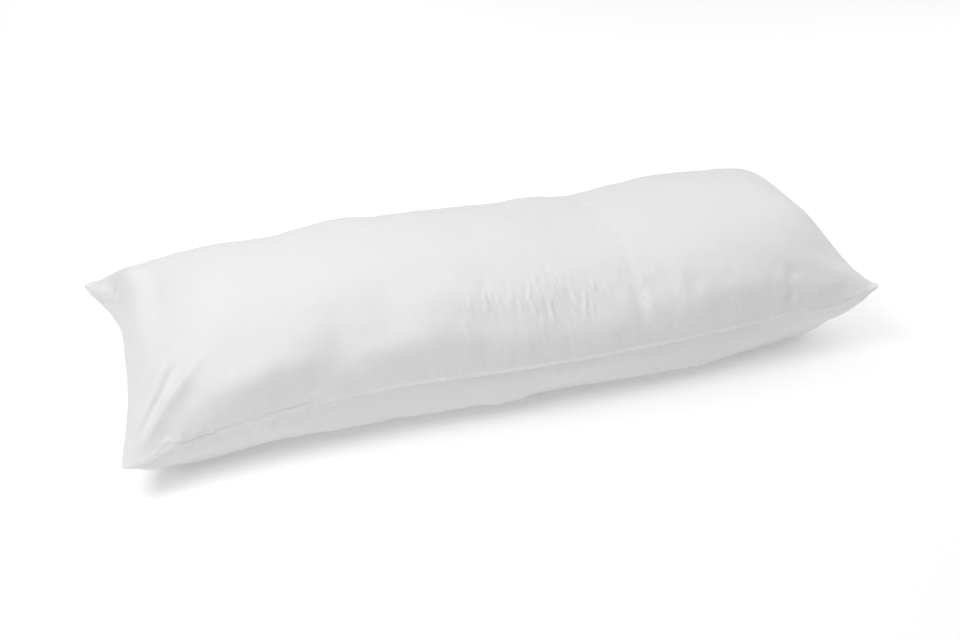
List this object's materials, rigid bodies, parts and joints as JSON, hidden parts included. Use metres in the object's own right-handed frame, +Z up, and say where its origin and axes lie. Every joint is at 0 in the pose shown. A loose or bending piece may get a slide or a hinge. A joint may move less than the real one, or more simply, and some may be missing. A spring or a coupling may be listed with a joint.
{
  "type": "body pillow",
  "caption": "Long filled cloth pillow lying on its back, sewn flat round the edge, with a soft crown and drawn-out corners.",
  "frame": {"origin": "on the floor, under the middle of the pillow's outline", "axes": "+X along the pillow, to the right in the picture; +Y to its far long seam; +Z up"},
  "size_m": [1.155, 0.4318, 0.2151],
  "materials": {
    "white_cloth": "plain white brushed microfibre, matt with a faint sheen"
  },
  "bodies": {
    "root": {"pillow": "white_cloth"}
  },
  "joints": []
}
